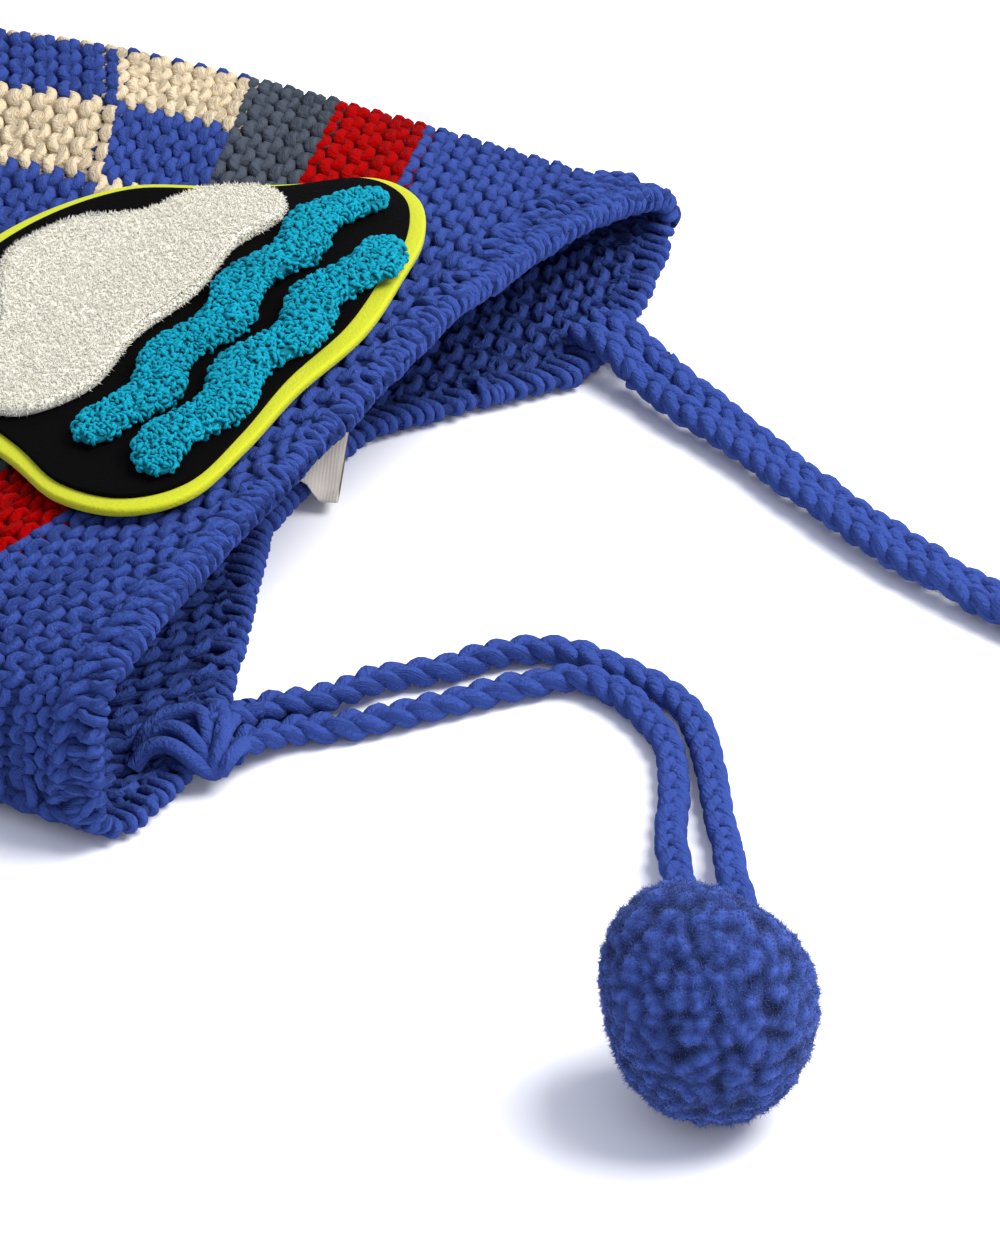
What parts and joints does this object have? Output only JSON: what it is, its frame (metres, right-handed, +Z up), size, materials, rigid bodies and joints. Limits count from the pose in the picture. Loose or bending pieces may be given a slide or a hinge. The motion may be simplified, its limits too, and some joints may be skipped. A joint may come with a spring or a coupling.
{
  "type": "knitted ear-flap beanie",
  "caption": "Hollow chunky-knit beanie with ear flaps, an edging band, braided ties that end in pompoms, and a raised felt patch, lying on its back.",
  "frame": {"origin": "on the table under the middle of the hat, leaving out its ties and pompoms", "axes": "+Z up out of the table, towards the hat's front; +Y from the opening to the crown; +X to the wearer's left"},
  "size_m": [0.2562, 0.4139, 0.0441],
  "materials": {
    "blue_yarn": "thick soft yarn, purl side out, in blue with red, grey and beige stripes and blocks",
    "yellow_felt": "matte pressed felt",
    "black_felt": "matte pressed felt",
    "white_plush": "short cut plush",
    "teal_chenille": "lumpy looped chenille",
    "grey_tape": "thin woven tape, blank"
  },
  "bodies": {
    "root": {"knit_body": "blue_yarn", "edging_band": "blue_yarn", "tie_knot_near": "blue_yarn", "tie_knot_far": "blue_yarn", "tie_near_outer": "blue_yarn", "tie_near_inner": "blue_yarn", "tie_far_outer": "blue_yarn", "tie_far_inner": "blue_yarn", "pompom_near": "blue_yarn", "pompom_far": "blue_yarn", "patch_felt": "yellow_felt", "patch_backing": "black_felt", "patch_cloud": "white_plush", "patch_wave_lower": "teal_chenille", "patch_wave_upper": "teal_chenille", "back_tag": "grey_tape"}
  },
  "joints": []
}
